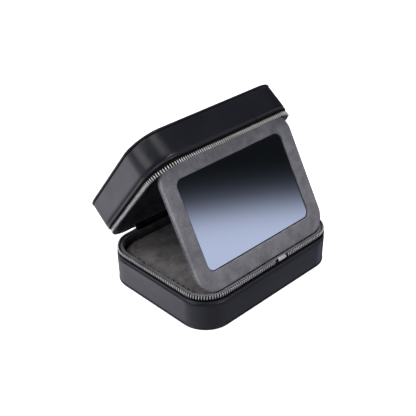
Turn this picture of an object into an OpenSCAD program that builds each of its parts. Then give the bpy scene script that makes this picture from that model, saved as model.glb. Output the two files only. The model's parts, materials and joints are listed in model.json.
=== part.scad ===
// Zip-around jewellery case for rings, standing open with its mirror panel as the prop.
// Millimetres, +Z up. The origin is the centre of the underside and the front faces -Y.
// The lid is drawn closed, in the same frame as the base, and then turned back about its hinge.

/* [Case] */
// Width over the leather, left to right
case_w = 150; // [125:1:190]
// Depth over the leather, front to back
case_d = 114; // [95:1:145]
// Corner radius of the leather outline
corner_r = 23; // [20:0.5:27]
// Height of the base leather, from the underside to the zip
base_h = 26; // [24:0.5:34]
// Height of the lid leather, from the zip to the top
lid_h = 24.8; // [22.8:0.5:32.8]
// Gap between the two leather edges when the zip is closed
zip_gap = 10.8; // [10:0.1:12]

/* [Walls] */
// Thickness of the leather wrap
leather_t = 1.2; // [0.9:0.1:1.5]
// Thickness of the stiff board inside the wall
wall_board_t = 2.2; // [1.8:0.1:2.8]
// Thickness of the padded suede lining
lining_t = 2.0; // [1.6:0.1:2.6]
// Thickness of the flat panels that close the top and the underside
cover_t = 2.2; // [2:0.1:3]
// Thickness of the leather that wraps those panels
cover_skin_t = 0.5; // [0.4:0.1:0.6]
// Width of the leather turned in round the inner face of those panels
cover_turn_in = 14; // [8:1:20]
// Edge radius of those panels
cover_edge_r = 0.9; // [0.6:0.1:0.9]
// Edge radius of the leather wrap
leather_edge_r = 0.5; // [0.3:0.1:0.6]
// Distance of the pressed crease from the zip edge of the leather
crease_drop = 2.0; // [1.6:0.1:4]
// Radius of the creasing tool's groove
crease_r = 0.35; // [0.2:0.05:0.45]
// Thickness of the suede-covered board that lines the floor and the ceiling
floor_t = 1.2; // [1:0.1:2]
// Height of the suede rim below the plane where base and lid meet
rim_drop = 1.2; // [0.6:0.1:1.6]

/* [Zip] */
// Distance from one tooth to the next
teeth_pitch = 2.0; // [1.9:0.1:2.8]
// Width of a tooth's clamping legs, along the row
tooth_leg_w = 1.25; // [1:0.05:1.5]
// Width of a tooth's head, along the row
tooth_head_w = 0.92; // [0.7:0.02:1]
// Thickness of a tooth, through the tape
tooth_t = 1.7; // [1.5:0.1:2]
// Height of a tooth
tooth_h = 3.0; // [2.7:0.1:3.4]
// Height of a tooth's legs
tooth_leg_h = 1.3; // [1.1:0.1:1.5]
// Thickness of the woven tape
tape_t = 0.6; // [0.5:0.05:0.7]
// Depth to which the tape runs down inside the wall
tape_drop = 10; // [6:1:14]
// Clearance between the tape and the metal that clamps it
tape_clear = 0.1; // [0.05:0.05:0.2]
// Distance of the front retaining clip's middle from the centre line
clip_x = 9.4; // [0:0.2:20]
// Length of the front retaining clip
clip_l = 8.8; // [5:0.2:12]
// Width of the leather hinge across the back
hinge_w = 86; // [60:1:90]

/* [Slider] */
// Length of the slider along the row
slider_l = 9; // [8:0.5:10]
// Distance round the right back corner at which the slider is parked, from the corner's start
slider_park = 20; // [17:0.5:23]
// Length of the pull tab, from its pivot to its end
pull_l = 19; // [14:0.5:21]
// Width of the pull tab
pull_w = 6; // [5:0.5:8]
// Thickness of the pull tab
pull_t = 1.0; // [0.8:0.1:1.2]

/* [Mirror panel] */
// Thickness of the mirror panel
panel_t = 6.5; // [5.5:0.1:7]
// Clearance round the panel when it lies folded in the lid
panel_gap = 0.9; // [0.7:0.05:1.6]
// Thickness of the panel's back board with its suede
panel_back_t = 2.0; // [1.6:0.1:2.4]
// Width of the frame at the panel's left and right sides
frame_side = 12.5; // [10:0.1:20]
// Width of the frame at the panel's fold end and at its foot
frame_end = 14.4; // [10:0.1:20]
// Corner radius of the mirror window
window_r = 6.2; // [3:0.1:10]
// Depth of the glass below the face of the frame
glass_recess = 1.7; // [1:0.1:2]
// Thickness of the mirror glass
glass_t = 1.8; // [1.5:0.1:2]
// Width of the glass held behind the frame on each side
glass_lap = 3.0; // [2:0.1:4]
// Thickness of the suede round the frame's board
frame_skin_t = 1.0; // [0.7:0.1:1.2]
// Distance of the panel's fold line inside the lid, from the plane where base and lid meet
fold_depth = 5.9; // [5:0.1:8]
// Distance from the fold line to the face of the folded panel
fold_offset = 3.3; // [2.5:0.1:4]
// Width of the suede tape that joins the panel to the lid
fold_tape_w = 98; // [60:1:98]

/* [Insert] */
// Gap between the padded insert and the lining
insert_gap = 4.3; // [2:0.1:6]
// Thickness of the insert's pad at its shoulder
insert_pad_t = 7.8; // [6:0.1:9]
// Rise of the insert's crown above its shoulder
insert_crown = 1.0; // [0.6:0.1:1.6]
// Distance of the standing panel's foot from the front of the case
foot_in = 11.1; // [10:0.1:14]
// Depth of the standing panel's foot below the rim
foot_drop = 3.1; // [2.5:0.1:4]
// Gap between the foot of the standing panel and the pad
foot_gap = 0.3; // [0.2:0.05:0.6]
// Thickness of the lid's ceiling pad at its edge
ceiling_pad_t = 3.6; // [3:0.1:5]
// Rise of the ceiling pad's crown
ceiling_crown = 2.6; // [1:0.1:4]

/* [Hidden] */
$fn = 64;
// Amount by which a cutting solid runs past the face it cuts
over = 1;

// Wall layers, as distances in from the outer face of the leather
wall_t = leather_t + wall_board_t + lining_t;
board_in = leather_t + wall_board_t;
tape_mid = leather_t + tape_t / 2;
rim_gap = 0.25;
rim_out = tape_mid + tooth_t / 2 + rim_gap;
rim_edge_r = 1.2;
// The wall board stops short of the leather's edge
board_stop = 1.0;

// Heights
mid_z = base_h + zip_gap / 2;
rim_z = mid_z - rim_drop;
floor_z = cover_t + floor_t;
// Overlap of the two rows of tooth heads when they mesh
tooth_over = 0.5;
tooth_z = mid_z + tooth_over - tooth_h;
tape_top = tooth_z + tooth_leg_h - tape_clear;
tape_low = base_h - tape_drop;

// Colours, as the photograph shows them
leather_c = [0.07, 0.07, 0.09];
leather_edge_c = [0.10, 0.10, 0.13];
suede_c = [0.42, 0.41, 0.44];
suede_dark_c = [0.28, 0.27, 0.29];
fold_tape_c = [0.38, 0.37, 0.40];
tape_c = [0.03, 0.03, 0.04];
metal_c = [0.80, 0.79, 0.76];
board_c = [0.50, 0.46, 0.40];
felt_c = [0.20, 0.20, 0.22];
glass_c = [0.75, 0.80, 0.90];

// The row of teeth follows the outline at this distance in from the leather
row_r = corner_r - tape_mid;
row_cx = case_w / 2 - corner_r;
row_cy = case_d / 2 - corner_r;
back_run = row_cx - hinge_w / 2;
arc_run = row_r * PI / 2;
row_l = 2 * (back_run + row_cy * 2 + row_cx) + 4 * arc_run;
slider_s = row_l - back_run - slider_park;
teeth_end_gap = 3;
clip_s = row_l / 2 + clip_x;
clip_gap = 0.9;

// The mirror panel, worked out from the lid's opening that it folds into
panel_w = case_w - 2 * (wall_t + panel_gap);
panel_l = case_d - 2 * (wall_t + panel_gap);
panel_r = corner_r - wall_t - panel_gap - 0.2;
window_w = panel_w - 2 * frame_side;
window_h = panel_l - 2 * frame_end;
fold_in = 0.3;
fold_y = -case_d / 2 + wall_t + fold_in;
fold_z = mid_z + fold_depth;
panel_top_y = -case_d / 2 + wall_t + panel_gap;
// The foot's back edge as seen from the fold line, with the panel folded flat in the lid
foot_run = panel_top_y + panel_l - fold_y;
foot_off = fold_offset + panel_t;
foot_reach = norm([foot_run, foot_off]);
// Height at which the foot's back edge stands over the pad
stand_z = rim_z - foot_drop;
// The hinge line, the fold line and the foot are the corners of the triangle that props the lid
fold_arm = norm([case_d / 2 - fold_y, fold_z - mid_z]);
foot_arm = norm([case_d - foot_in, mid_z - stand_z]);
prop_angle = acos((pow(fold_arm, 2) + pow(foot_arm, 2) - pow(foot_reach, 2)) / (2 * fold_arm * foot_arm));
// Angle of the propped lid above its closed position
lid_open = prop_angle - atan2(fold_z - mid_z, case_d / 2 - fold_y) - atan2(mid_z - stand_z, case_d - foot_in);
// Height of the fold line once the lid is turned back
fold_up = (case_d / 2 - fold_y) * sin(lid_open) + (fold_z - mid_z) * cos(lid_open) + mid_z;
panel_swing = 180 - asin((fold_up - stand_z) / foot_reach) + atan2(foot_off, foot_run);
panel_fold = panel_swing - lid_open;

// A rounded rectangle about the origin
module rounded_rect(w, d, r) {
    square([w - 2 * r, d], center = true);
    square([w, d - 2 * r], center = true);
    for (x = [-1, 1], y = [-1, 1])
        translate([x * (w / 2 - r), y * (d / 2 - r)])
            circle(r);
}

// The case outline, drawn in from the leather by a distance
module outline(inset) {
    rounded_rect(case_w - 2 * inset, case_d - 2 * inset, corner_r - inset);
}

// A plate or ring with the case outline, from one height to another
module plate(inset, z0, z1) {
    translate([0, 0, z0])
        linear_extrude(z1 - z0)
            outline(inset);
}

module ring(inset_out, inset_in, z0, z1) {
    difference() {
        plate(inset_out, z0, z1);
        plate(inset_in, z0 - over, z1 + over);
    }
}

// Carries a profile round a rounded rectangle. The profile's x runs inward and its y runs up.
module sweep(w, d, r) {
    for (k = [0:3]) {
        across = k % 2 == 0 ? w : d;
        deep = k % 2 == 0 ? d : w;
        rotate([0, 0, 90 * k]) {
            translate([r - across / 2, -deep / 2, 0])
                rotate([90, 0, 90])
                    linear_extrude(across - 2 * r)
                        children();
            translate([across / 2 - r, r - deep / 2, 0])
                rotate([0, 0, -90])
                    rotate_extrude(angle = 90)
                        translate([r, 0])
                            mirror([1, 0])
                                children();
        }
    }
}

// What is cut from a square corner at the origin to round it.
// The signs of sx and sy tell on which side the solid lies.
module edge_cut(r, sx, sy) {
    mirror([sx < 0 ? 1 : 0, 0])
        mirror([0, sy < 0 ? 1 : 0])
            difference() {
                translate([-over, -over])
                    square(r + over);
                translate([r, r])
                    circle(r, $fn = 48);
            }
}

// A flat panel with the case outline and a rounded edge top and bottom
module rounded_plate(w, d, r, h, edge_r) {
    difference() {
        linear_extrude(h)
            rounded_rect(w, d, r);
        sweep(w, d, r) {
            edge_cut(edge_r, 1, 1);
        }
        sweep(w, d, r) {
            translate([0, h])
                edge_cut(edge_r, 1, -1);
        }
    }
}

// The point and the outward direction at a distance along the row of teeth.
// The row starts at the hinge's left end and runs by the left side and the front.
function row_arc(cx, cy, a0, s) =
    let (a = a0 + s / row_r * 180 / PI)
        [cx + row_r * cos(a), cy + row_r * sin(a), a];

function row_at(s) =
    s < back_run ? [-hinge_w / 2 - s, case_d / 2 - tape_mid, 90] :
    s < back_run + arc_run ? row_arc(-row_cx, row_cy, 90, s - back_run) :
    let (s1 = s - back_run - arc_run)
    s1 < 2 * row_cy ? [tape_mid - case_w / 2, row_cy - s1, 180] :
    let (s2 = s1 - 2 * row_cy)
    s2 < arc_run ? row_arc(-row_cx, -row_cy, 180, s2) :
    let (s3 = s2 - arc_run)
    s3 < 2 * row_cx ? [s3 - row_cx, tape_mid - case_d / 2, 270] :
    let (s4 = s3 - 2 * row_cx)
    s4 < arc_run ? row_arc(row_cx, -row_cy, 270, s4) :
    let (s5 = s4 - arc_run)
    s5 < 2 * row_cy ? [case_w / 2 - tape_mid, s5 - row_cy, 0] :
    let (s6 = s5 - 2 * row_cy)
    s6 < arc_run ? row_arc(row_cx, row_cy, 0, s6) :
    [row_cx - (s6 - arc_run), case_d / 2 - tape_mid, 90];

// Places a piece on the row, its x pointing out of the case and its y along the row
module on_row(s) {
    p = row_at(s);
    translate([p[0], p[1], 0])
        rotate([0, 0, p[2]])
            children();
}

// Turns a profile, x outward and y up, into a piece of the given length along the row
module along_row(l) {
    rotate([90, 0, 0])
        linear_extrude(l, center = true)
            children();
}

// Turns a piece of the base upside down into the closed lid
module closed_lid() {
    translate([0, 0, base_h + zip_gap + lid_h])
        mirror([0, 0, 1])
            children();
}

// Turns the closed lid back about the hinge line
module open_lid() {
    translate([0, case_d / 2, mid_z])
        rotate([-lid_open, 0, 0])
            translate([0, -case_d / 2, -mid_z])
                children();
}

module lid_place() {
    open_lid()
        closed_lid()
            children();
}

// Places the mirror panel. In its own frame x runs across, y runs from the fold end to the
// foot, and z runs from the mirror face to the back.
module panel_place() {
    open_lid()
        translate([0, fold_y, fold_z])
            rotate([-panel_fold, 0, 0])
                translate([0, panel_top_y - fold_y, fold_offset])
                    children();
}

// The wall pieces are shared by base and lid, which differ in height only

module wall_board(h) {
    difference() {
        ring(leather_t, board_in, cover_t, h - board_stop);
        ring(leather_t - over, leather_t + tape_t, h - tape_drop, h + over);
    }
}

module leather_wrap(h) {
    difference() {
        ring(0, leather_t, cover_t, h);
        sweep(case_w, case_d, corner_r) {
            translate([0, h])
                edge_cut(leather_edge_r, 1, -1);
        }
        sweep(case_w, case_d, corner_r) {
            translate([0, cover_t])
                edge_cut(leather_edge_r, 1, 1);
        }
        sweep(case_w, case_d, corner_r) {
            translate([-crease_r / 4, h - crease_drop])
                circle(crease_r, $fn = 24);
        }
    }
}

// The lining with its padded rim, which stands between the teeth and the opening
module suede_lining(h) {
    rim = mid_z - rim_drop - base_h + h;
    difference() {
        union() {
            ring(board_in, wall_t, floor_z, h - board_stop + over / 2);
            ring(rim_out, wall_t, h - board_stop, rim);
        }
        sweep(case_w - 2 * rim_out, case_d - 2 * rim_out, corner_r - rim_out) {
            translate([0, rim])
                edge_cut(rim_edge_r, 1, -1);
        }
        sweep(case_w - 2 * rim_out, case_d - 2 * rim_out, corner_r - rim_out) {
            translate([wall_t - rim_out, rim])
                edge_cut(rim_edge_r, -1, -1);
        }
        // Relief in the pad for the parked slider
        on_row(slider_s)
            translate([-relief_in, -slider_l / 2 - 2 * slider_clear, h + relief_low])
                cube([relief_in, slider_l + 4 * slider_clear, zip_gap]);
    }
}

// The tape follows the row of teeth and stops at the hinge
module zip_tape(h) {
    difference() {
        ring(leather_t, leather_t + tape_t, h - tape_drop, tape_top - base_h + h);
        translate([-hinge_w / 2, case_d / 2 - 4 * tape_mid, 0])
            cube([hinge_w, 8 * tape_mid, 2 * mid_z]);
    }
}

// One tooth, clamped over the edge of the tape
module tooth() {
    slot = tape_t + 2 * tape_clear;
    for (side = [-1, 1])
        translate([side * (slot + tooth_t) / 4, 0, tooth_leg_h / 2])
            cube([(tooth_t - slot) / 2, tooth_leg_w, tooth_leg_h], center = true);
    translate([0, 0, tooth_leg_h])
        along_row(tooth_head_w)
            tooth_head();
}

module tooth_head() {
    head_h = tooth_h - tooth_leg_h;
    chamfer = 0.4;
    polygon([
        [-tooth_t / 2, -0.4], [-slot_half(), -0.4], [-slot_half(), 0], [slot_half(), 0],
        [slot_half(), -0.4], [tooth_t / 2, -0.4], [tooth_t / 2, head_h - 2 * chamfer],
        [tooth_t / 2 - chamfer, head_h], [chamfer - tooth_t / 2, head_h],
        [-tooth_t / 2, head_h - 2 * chamfer]
    ]);
}

function slot_half() = tape_t / 2 + tape_clear;

// A row of teeth from one distance to another, leaving out a stretch for the clip
module teeth_row(h, start, skip_from, skip_to) {
    n = floor((slider_s + slider_l / 2 - teeth_end_gap - start) / teeth_pitch);
    for (k = [0:n]) {
        s = start + k * teeth_pitch;
        if (s < skip_from || s > skip_to)
            on_row(s)
                translate([0, 0, tooth_z - base_h + h])
                    tooth();
    }
}

// A crimped metal block over the edge of the tape
module tape_clamp(h, l, low, high) {
    half = tooth_t / 2;
    translate([0, 0, tooth_z - base_h + h])
        along_row(l)
            polygon([
                [-half, low], [-slot_half(), low], [-slot_half(), tooth_leg_h],
                [slot_half(), tooth_leg_h], [slot_half(), low], [half, low],
                [half, high - 0.3], [half - 0.3, high], [0.3 - half, high], [-half, high - 0.3]
            ]);
}

// The leather hinge is one strip in two leaves, which meet at the hinge line.
// Its tail is stitched into the wall behind the wrap.
module hinge_leaf(h) {
    meet = mid_z - base_h + h - 0.1;
    translate([-hinge_w / 2, case_d / 2 - leather_t, h])
        cube([hinge_w, leather_t, meet - h]);
    translate([-hinge_w / 2 + 0.5, case_d / 2 - leather_t - tape_t, h - tape_drop])
        cube([hinge_w - 1, tape_t, meet - h + tape_drop]);
}

// A flat panel's leather, wrapped round its board and turned in
module panel_cover() {
    difference() {
        rounded_plate(case_w, case_d, corner_r, cover_t, cover_edge_r);
        cover_board_space();
        plate(cover_turn_in, cover_skin_t + over / 2, cover_t + over);
    }
}

module cover_board_space() {
    plate(cover_skin_t + 0.8, cover_skin_t, cover_t - cover_skin_t);
}

module panel_board() {
    union() {
        cover_board_space();
        plate(cover_turn_in, cover_skin_t, cover_t);
    }
}

// A padded cushion: a closed skin of rings, each the outline drawn in by a distance.
// Its sides pull in between the corners and its top is crowned.
pad_steps = 7;
pad_side_pts = 5;

function pad_outline(w, d, r, draw) = [
    for (c = [0:3])
        let (
            sx = c == 0 || c == 3 ? 1 : -1,
            sy = c < 2 ? 1 : -1,
            a0 = 90 * c,
            run = c % 2 == 0 ? w - 2 * r : d - 2 * r
        )
        each concat(
            [for (k = [0:pad_steps])
                let (a = a0 + 90 * k / pad_steps)
                    [sx * (w / 2 - r) + r * cos(a), sy * (d / 2 - r) + r * sin(a)]],
            [for (k = [1:pad_side_pts])
                let (
                    t = k / (pad_side_pts + 1),
                    a = a0 + 90,
                    pull = draw * 4 * t * (1 - t)
                )
                    [sx * (w / 2 - r) + r * cos(a) - sin(a) * t * run - pull * cos(a),
                     sy * (d / 2 - r) + r * sin(a) + cos(a) * t * run - pull * sin(a)]]
        )
];

// Each ring is [share of the outline's size taken off, height]
function pad_rings(edge_h, crown) = concat(
    [[1.2, 0], [0.3, edge_h * 0.25], [0, edge_h * 0.5], [0.2, edge_h * 0.72]],
    [for (a = [25:25:75]) [0.2 + 1.9 * (1 - cos(a)), edge_h * (0.72 + 0.28 * sin(a))]],
    [for (k = [1:8])
        let (t = k / 8)
            [2 + 40 * t, edge_h + crown * (1 - pow(1 - t, 3))]]
);

module pad(w, d, r, edge_h, crown, draw) {
    rings = pad_rings(edge_h, crown);
    base = pad_outline(w, d, r, draw);
    n = len(base);
    m = len(rings);
    points = concat(
        [for (g = rings)
            each [for (p = base)
                [p[0] * (1 - 2 * g[0] / w), p[1] * (1 - 2 * g[0] / d), g[1]]]],
        [[0, 0, 0], [0, 0, edge_h + crown]]
    );
    faces = concat(
        [for (g = [0:m - 2], k = [0:n - 1])
            each [
                [g * n + k, g * n + (k + 1) % n, (g + 1) * n + (k + 1) % n],
                [g * n + k, (g + 1) * n + (k + 1) % n, (g + 1) * n + k]
            ]],
        [for (k = [0:n - 1]) [(k + 1) % n, k, m * n]],
        [for (k = [0:n - 1]) [(m - 1) * n + k, (m - 1) * n + (k + 1) % n, m * n + 1]]
    );
    polyhedron(points, [for (f = faces) [f[2], f[1], f[0]]]);
}

// Base

module bottom_board() {
    color(board_c)
        panel_board();
}

module bottom_cover() {
    color(leather_edge_c)
        panel_cover();
}

module base_wall_board() {
    color(board_c)
        wall_board(base_h);
}

module base_leather_wrap() {
    color(leather_c)
        leather_wrap(base_h);
}

module base_floor_board() {
    color(suede_dark_c)
        plate(board_in, cover_t, floor_z);
}

module base_suede_lining() {
    color(suede_c)
        suede_lining(base_h);
}

module base_zip_tape() {
    color(tape_c)
        zip_tape(base_h);
}

module base_zip_teeth() {
    color(metal_c)
        teeth_row(base_h, stop_l + teeth_pitch, clip_s - clip_l / 2 - clip_gap - teeth_pitch / 2,
            clip_s + clip_l / 2 + teeth_pitch / 2);
}

// The metal stop that ends each row at the hinge's left end
stop_l = 3;

module base_top_stop() {
    color(metal_c)
        on_row(stop_l / 2 + 0.5)
            tape_clamp(base_h, stop_l, 0, 2.6);
}

module zip_bottom_stop() {
    color(metal_c)
        on_row(slider_s + slider_l / 2 + 4)
            tape_clamp(base_h, stop_l, 0, 2.6);
}

// The plain metal clip in the front row
module zip_front_clip() {
    color(metal_c)
        on_row(clip_s)
            tape_clamp(base_h, clip_l, 0.2, tooth_h - 0.1);
}

module base_hinge_leather() {
    color(leather_c)
        hinge_leaf(base_h);
}

// The insert: a firm block with a padded suede top, loose-edged all round
insert_w = case_w - 2 * (wall_t + insert_gap);
insert_d = case_d - 2 * (wall_t + insert_gap);
insert_r = corner_r - wall_t - insert_gap;
insert_block_inset = wall_t + insert_gap + 1.2;
// The foot's rounded edge and the pad's rounded shoulder meet this far above the square foot
foot_round = 0.75;
insert_block_z = stand_z + foot_round - foot_gap - insert_pad_t;

module insert_block() {
    color(suede_dark_c)
        plate(insert_block_inset, floor_z, insert_block_z);
}

module insert_pad() {
    color(suede_dark_c)
        translate([0, 0, insert_block_z])
            pad(insert_w, insert_d, insert_r, insert_pad_t, insert_crown, 0.8);
}

// Lid

module lid_board() {
    color(board_c)
        lid_place()
            panel_board();
}

module lid_cover() {
    color(leather_edge_c)
        lid_place()
            panel_cover();
}

module lid_wall_board() {
    color(board_c)
        lid_place()
            wall_board(lid_h);
}

module lid_leather_wrap() {
    color(leather_c)
        lid_place()
            leather_wrap(lid_h);
}

module lid_ceiling_board() {
    color(suede_dark_c)
        lid_place()
            plate(board_in, cover_t, floor_z);
}

module lid_suede_lining() {
    color(suede_c)
        lid_place()
            suede_lining(lid_h);
}

module lid_zip_tape() {
    color(tape_c)
        lid_place()
            zip_tape(lid_h);
}

// The lid's teeth stand half a pitch from the base's, so that the rows mesh
module lid_zip_teeth() {
    color(metal_c)
        lid_place()
            teeth_row(lid_h, stop_l + 1.5 * teeth_pitch, row_l, row_l);
}

module lid_top_stop() {
    color(metal_c)
        lid_place()
            on_row(stop_l / 2 + 0.5)
                tape_clamp(lid_h, stop_l, 0, 2.6);
}

module lid_hinge_leather() {
    color(leather_c)
        lid_place()
            hinge_leaf(lid_h);
}

module lid_ceiling_pad() {
    color(suede_dark_c)
        lid_place()
            translate([0, 0, floor_z])
                pad(case_w - 2 * wall_t - 1, case_d - 2 * wall_t - 1, corner_r - wall_t - 0.5,
                    ceiling_pad_t, ceiling_crown, 0.6);
}

// The half of the fold tape that is glued to the lid's front lining
module lid_fold_tape() {
    color(fold_tape_c)
        open_lid()
            translate([-fold_tape_w / 2, fold_y - fold_in, fold_z - 3.4])
                cube([fold_tape_w, 0.2, 3.3]);
}

// Mirror panel, in its own frame: x across, y from the fold end to the foot, z to the back

module panel_slab(inset, z0, z1, edge_r) {
    translate([0, panel_l / 2, z0])
        rounded_plate(panel_w - 2 * inset, panel_l - 2 * inset, panel_r - inset, z1 - z0, edge_r);
}

// The window's prism, widened by a lap
module window_space(lap, z0, z1) {
    translate([0, panel_l / 2, z0])
        linear_extrude(z1 - z0)
            rounded_rect(window_w + 2 * lap, window_h + 2 * lap, window_r + lap);
}

frame_edge_r = 1.5;
window_edge_r = 0.8;
glass_z = glass_recess;
felt_z = glass_z + glass_t;
back_z = panel_t - panel_back_t;
glass_play = 0.2;
core_low = 1.3;

// The frame's outer skin without the board inside it
module frame_body() {
    difference() {
        translate([0, panel_l / 2, 0])
            rounded_plate(panel_w, panel_l, panel_r, back_z, frame_edge_r);
        window_space(0, -over, back_z + over);
        window_space(glass_lap + glass_play, glass_z, back_z + over);
        translate([0, panel_l / 2, 0])
            difference() {
                translate([0, 0, -over])
                    linear_extrude(over + window_edge_r)
                        rounded_rect(window_w + 2 * window_edge_r, window_h + 2 * window_edge_r,
                            window_r + window_edge_r);
                sweep(window_w + 2 * window_edge_r, window_h + 2 * window_edge_r,
                    window_r + window_edge_r) {
                    translate([0, window_edge_r])
                        circle(window_edge_r, $fn = 32);
                }
            }
    }
}

module mirror_frame_board() {
    color(board_c)
        panel_place()
            frame_core();
}

module frame_core() {
    difference() {
        translate([0, panel_l / 2, core_low])
            linear_extrude(back_z - core_low)
                rounded_rect(panel_w - 2 * frame_skin_t - 1, panel_l - 2 * frame_skin_t - 1,
                    panel_r - frame_skin_t - 0.5);
        window_space(glass_lap + glass_play + frame_skin_t, core_low - over, back_z + over);
    }
}

module mirror_frame_cover() {
    color(suede_c)
        panel_place()
            difference() {
                frame_body();
                frame_core();
            }
}

module mirror_glass() {
    color(glass_c)
        panel_place()
            window_space(glass_lap, glass_z, felt_z);
}

module mirror_backing_felt() {
    color(felt_c)
        panel_place()
            window_space(glass_lap, felt_z, back_z);
}

module mirror_back_cover() {
    color(suede_c)
        panel_place()
            panel_slab(0.3, back_z, panel_t, 0.7);
}

// The half of the fold tape that is glued over the panel's end
module panel_fold_tape() {
    color(fold_tape_c)
        panel_place()
            translate([-fold_tape_w / 2, -0.5, 0.2 - fold_offset])
                cube([fold_tape_w, 0.45, fold_offset + 4]);
}

// Zip slider. Its own frame: x out of the case, y along the row, z up from the mid plane.
slider_half_h = 3.6;
slider_out = 1.3;
slider_in = 1.8;
slider_clear = 0.3;
plate_out_t = 1.0;
plate_in_t = 0.8;
flange_t = 0.6;
relief_in = slider_in + plate_in_t + slider_clear;
relief_low = zip_gap / 2 - slider_half_h - slider_clear;
pin_r = 0.55;
eye_r = 1.25;
pin_off = slider_out + plate_out_t + 1.55;

module slider_frame() {
    on_row(slider_s)
        translate([0, 0, mid_z])
            children();
}

// A plate with rounded corners, standing on edge along the row
module slider_plate(x, t) {
    translate([x, 0, 0])
        rotate([90, 0, 90])
            linear_extrude(t)
                rounded_rect(slider_l, 2 * slider_half_h, 1.6);
}

module slider_body() {
    slider_plate(slider_out, plate_out_t);
    slider_plate(-slider_in - plate_in_t, plate_in_t);
    // The post that parts the two rows
    translate([-slider_in - 0.1, -slider_l / 2 + 0.8, tooth_over + 0.3])
        cube([slider_in + slider_out + 0.2, 2, 2.3]);
    // Flanges that hold the tapes
    for (side = [-1, 1])
        translate([0, 0, side * (slider_half_h - flange_t / 2)]) {
            translate([slider_out - 0.3, 0, 0])
                cube([0.7, slider_l - 3.2, flange_t], center = true);
            translate([-slider_in + 0.3, 0, 0])
                cube([0.7, slider_l - 3.2, flange_t], center = true);
        }
    // Two ears carry the pin of the pull
    for (side = [-1, 1])
        translate([slider_out + plate_out_t - 0.1, side * 1.9, 0])
            rotate([90, 0, 0])
                linear_extrude(0.8, center = true)
                    ear_profile();
    translate([pin_off, 0, 0])
        rotate([90, 0, 0])
            cylinder(r = pin_r, h = 4, center = true);
}

module ear_profile() {
    translate([0, -1.2])
        square([pin_off - slider_out - plate_out_t + 0.1, 2.4]);
    translate([pin_off - slider_out - plate_out_t + 0.1, 0])
        circle(1.2, $fn = 32);
}

module zip_slider() {
    color(metal_c)
        slider_frame()
            slider_body();
}

module zip_pull() {
    eye_w = 2.6;
    color(metal_c)
        slider_frame()
            translate([pin_off, 0, 0])
                difference() {
                    union() {
                        rotate([90, 0, 0])
                            cylinder(r = eye_r, h = eye_w, center = true);
                        translate([-pull_t / 2, -eye_w / 2, -4])
                            cube([pull_t, eye_w, 4]);
                        translate([-pull_t / 2, 0, 0])
                            rotate([90, 0, 90])
                                linear_extrude(pull_t)
                                    pull_outline();
                    }
                    rotate([90, 0, 0])
                        cylinder(r = pin_r + 0.1, h = pull_w, center = true);
                    translate([-pull_t, 0, -pull_l + 3.4])
                        rotate([0, 90, 0])
                            cylinder(r = 1.5, h = 2 * pull_t);
                }
}

// The tab: a narrow neck that widens to a round end
module pull_outline() {
    translate([-pull_w / 2, pull_w / 2 - pull_l])
        square([pull_w, pull_l - pull_w / 2 - 3.4]);
    translate([0, pull_w / 2 - pull_l])
        circle(pull_w / 2);
}

bottom_board();
bottom_cover();
base_wall_board();
base_leather_wrap();
base_floor_board();
base_suede_lining();
base_zip_tape();
base_zip_teeth();
base_top_stop();
zip_bottom_stop();
zip_front_clip();
base_hinge_leather();
insert_block();
insert_pad();
lid_board();
lid_cover();
lid_wall_board();
lid_leather_wrap();
lid_ceiling_board();
lid_suede_lining();
lid_zip_tape();
lid_zip_teeth();
lid_top_stop();
lid_hinge_leather();
lid_ceiling_pad();
lid_fold_tape();
mirror_back_cover();
mirror_frame_board();
mirror_frame_cover();
mirror_backing_felt();
mirror_glass();
panel_fold_tape();
zip_slider();
zip_pull();
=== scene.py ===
"""Looks of the zip-around jewellery case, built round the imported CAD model.

Dimensions are in millimetres, as in part.scad, and MM turns them into Blender's metres. Pieces of the lid
are made as if it were a second base, upside down, and turned into place by LID. Pieces of the mirror panel
are made in the panel's own frame: x across, y from the fold to the foot, z from the mirror face to the back.
"""

import json
import math

import bmesh
import bpy
from mathutils import Matrix, Vector, noise
from mathutils.bvhtree import BVHTree


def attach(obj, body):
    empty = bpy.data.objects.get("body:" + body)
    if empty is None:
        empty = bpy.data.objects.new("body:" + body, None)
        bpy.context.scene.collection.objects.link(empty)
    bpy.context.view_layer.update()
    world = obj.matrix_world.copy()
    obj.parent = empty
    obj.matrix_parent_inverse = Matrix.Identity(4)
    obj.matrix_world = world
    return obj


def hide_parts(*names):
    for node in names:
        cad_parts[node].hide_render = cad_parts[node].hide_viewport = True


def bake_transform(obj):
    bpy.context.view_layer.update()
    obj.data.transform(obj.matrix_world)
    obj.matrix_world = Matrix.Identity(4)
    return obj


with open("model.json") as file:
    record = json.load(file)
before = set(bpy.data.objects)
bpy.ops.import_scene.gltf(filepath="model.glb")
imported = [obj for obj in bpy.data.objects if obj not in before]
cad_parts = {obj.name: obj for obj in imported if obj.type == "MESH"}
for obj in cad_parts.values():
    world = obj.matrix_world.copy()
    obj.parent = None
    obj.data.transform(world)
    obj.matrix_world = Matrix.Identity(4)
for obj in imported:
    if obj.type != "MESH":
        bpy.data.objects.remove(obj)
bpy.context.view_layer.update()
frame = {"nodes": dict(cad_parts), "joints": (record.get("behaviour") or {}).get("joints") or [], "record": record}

MM = 0.001

# Case, as in part.scad
CASE_W = 150.0
CASE_D = 114.0
CORNER_R = 23.0
BASE_H = 26.0
LID_H = 24.8
ZIP_GAP = 10.8
MID_Z = BASE_H + ZIP_GAP / 2
LEATHER_T = 1.2
COVER_T = 2.2
WALL_T = 5.4
FLOOR_Z = 3.4
RIM_DROP = 1.2
RIM_Z = MID_Z - RIM_DROP
RIM_OUT = 2.6
CREASE_DROP = 2.0
HINGE_W = 86.0

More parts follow.
